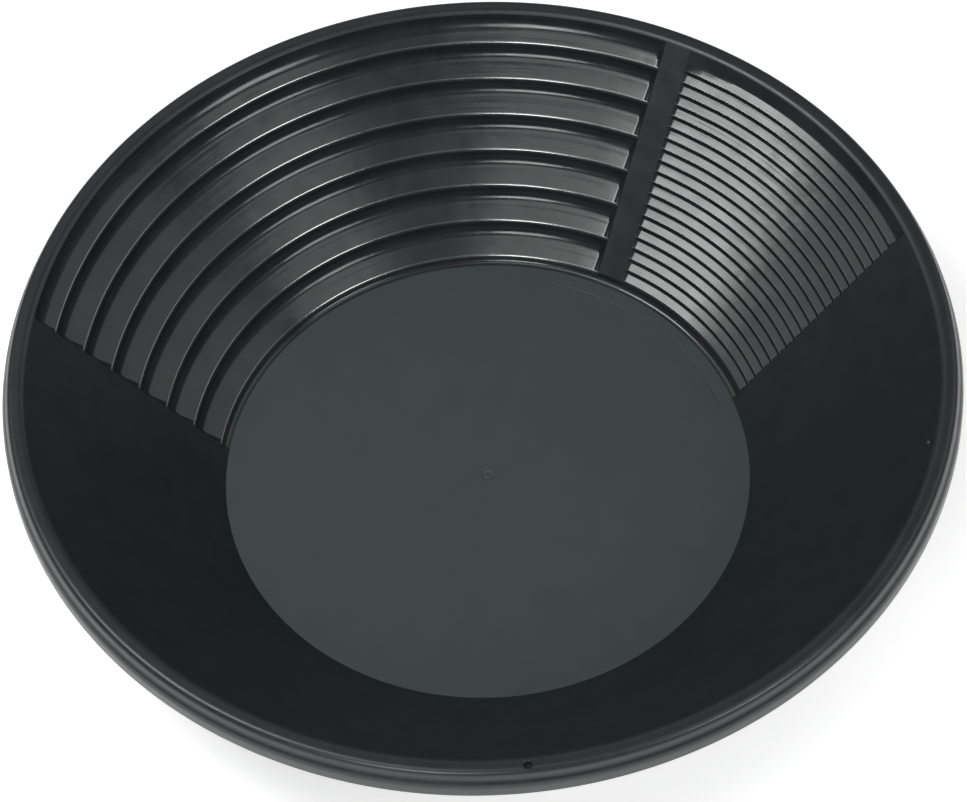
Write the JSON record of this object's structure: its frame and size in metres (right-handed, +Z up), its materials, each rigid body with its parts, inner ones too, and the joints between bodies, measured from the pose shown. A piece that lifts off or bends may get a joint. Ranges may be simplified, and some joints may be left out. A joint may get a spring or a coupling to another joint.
{
  "type": "gold pan",
  "caption": "Round black plastic gold pan with a flat floor, a smooth sloping wall, coarse and fine riffles on one side of the wall and a rolled rim.",
  "frame": {"origin": "middle of the flat underside, in the plane the pan rests on", "axes": "+Z up out of the bowl, +Y from the middle towards the riffles, +X towards the fine riffles' side"},
  "size_m": [0.3556, 0.3556, 0.074],
  "materials": {
    "floor_plastic": "satin black, fine moulded grain",
    "wall_plastic": "satin black, fine moulded grain",
    "riffle_plastic": "glossy black, polished mould",
    "rim_plastic": "satin black with a soft sheen"
  },
  "bodies": {
    "root": {"floor_disc": "floor_plastic", "floor_margin": "floor_plastic", "floor_riffle_land": "floor_plastic", "wall_smooth": "wall_plastic", "divider_strip": "wall_plastic", "coarse_riffle_1": "riffle_plastic", "coarse_riffle_2": "riffle_plastic", "coarse_riffle_3": "riffle_plastic", "coarse_riffle_4": "riffle_plastic", "coarse_riffle_5": "riffle_plastic", "coarse_riffle_6": "riffle_plastic", "coarse_riffle_7": "riffle_plastic", "coarse_crest": "riffle_plastic", "fine_wall": "riffle_plastic", "fine_riffle_01": "riffle_plastic", "fine_riffle_02": "riffle_plastic", "fine_riffle_03": "riffle_plastic", "fine_riffle_04": "riffle_plastic", "fine_riffle_05": "riffle_plastic", "fine_riffle_06": "riffle_plastic", "fine_riffle_07": "riffle_plastic", "fine_riffle_08": "riffle_plastic", "fine_riffle_09": "riffle_plastic", "fine_riffle_10": "riffle_plastic", "fine_riffle_11": "riffle_plastic", "fine_riffle_12": "riffle_plastic", "fine_riffle_13": "riffle_plastic", "fine_riffle_14": "riffle_plastic", "fine_riffle_15": "riffle_plastic", "fine_riffle_16": "riffle_plastic", "fine_riffle_17": "riffle_plastic", "fine_riffle_18": "riffle_plastic", "fine_riffle_19": "riffle_plastic", "fine_riffle_20": "riffle_plastic", "rim_lip": "rim_plastic", "rim_bead": "rim_plastic"}
  },
  "joints": []
}
